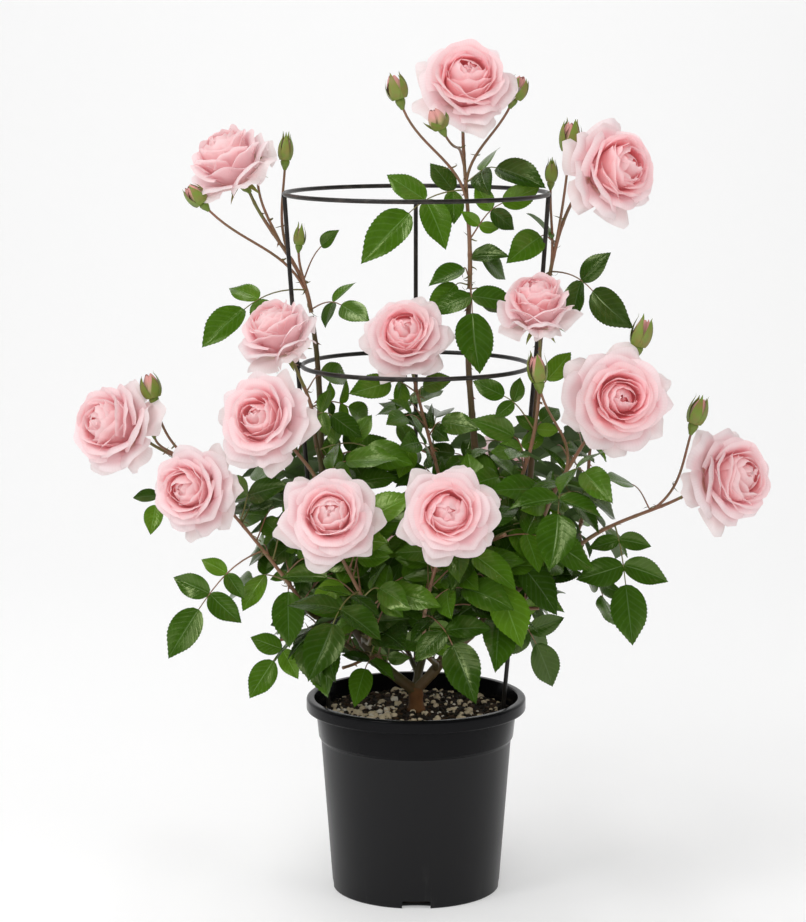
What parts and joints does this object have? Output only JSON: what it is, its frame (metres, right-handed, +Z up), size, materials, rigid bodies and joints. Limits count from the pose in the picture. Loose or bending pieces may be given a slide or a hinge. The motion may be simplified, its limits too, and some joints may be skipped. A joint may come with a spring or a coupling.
{
  "type": "potted rose bush",
  "caption": "Double-flowered shrub rose in a round nursery pot, its canes grown up through a wire ring support, with full blooms, buds and compound leaves.",
  "frame": {"origin": "The middle of the pot's flat underside, where it stands on the ground.", "axes": "+Z up along the pot's own axis, -Y to the front of the plant, +X to the right as seen from the front. Metres."},
  "size_m": [0.6854, 0.484, 0.8422],
  "materials": {
    "pot": "satin charcoal black moulded plastic",
    "mix": "loose dark bark and peat potting mix with pale granules",
    "wire": "black coated wire, semi-gloss",
    "cane": "olive brown rose bark with thorns",
    "shoot": "glossy dark green leaves and pale pink double blooms"
  },
  "bodies": {
    "root": {"pot": "pot", "potting_mix": "mix", "ring_upper": "wire", "ring_lower": "wire", "leg_right": "wire", "leg_back": "wire", "leg_left": "wire", "trunk": "cane", "cane_top": "cane", "cane_upper_left": "cane", "cane_upper_right": "cane", "cane_mid_left": "cane", "cane_centre": "cane", "cane_mid_right": "cane", "cane_right": "cane", "cane_far_left": "cane", "cane_left": "cane", "cane_low_left": "cane", "cane_front_left": "cane", "cane_front_right": "cane", "cane_far_right": "cane", "cane_back_right": "cane", "cane_back_left": "cane", "cane_back_low": "cane", "cane_back_high": "cane", "cane_middle": "cane", "cane_low_right": "cane", "cane_skirt_left": "cane", "cane_low_front": "cane", "shoot_top": "shoot", "shoot_upper_left": "shoot", "shoot_upper_right": "shoot", "shoot_mid_left": "shoot", "shoot_centre": "shoot", "shoot_mid_right": "shoot", "shoot_right": "shoot", "shoot_far_left": "shoot", "shoot_left": "shoot", "shoot_low_left": "shoot", "shoot_front_left": "shoot", "shoot_front_right": "shoot", "shoot_far_right": "shoot", "shoot_back_right": "shoot", "shoot_back_left": "shoot", "shoot_back_low": "shoot", "shoot_back_high": "shoot", "shoot_middle": "shoot", "shoot_low_right": "shoot", "shoot_skirt_left": "shoot", "shoot_low_front": "shoot"}
  },
  "joints": []
}
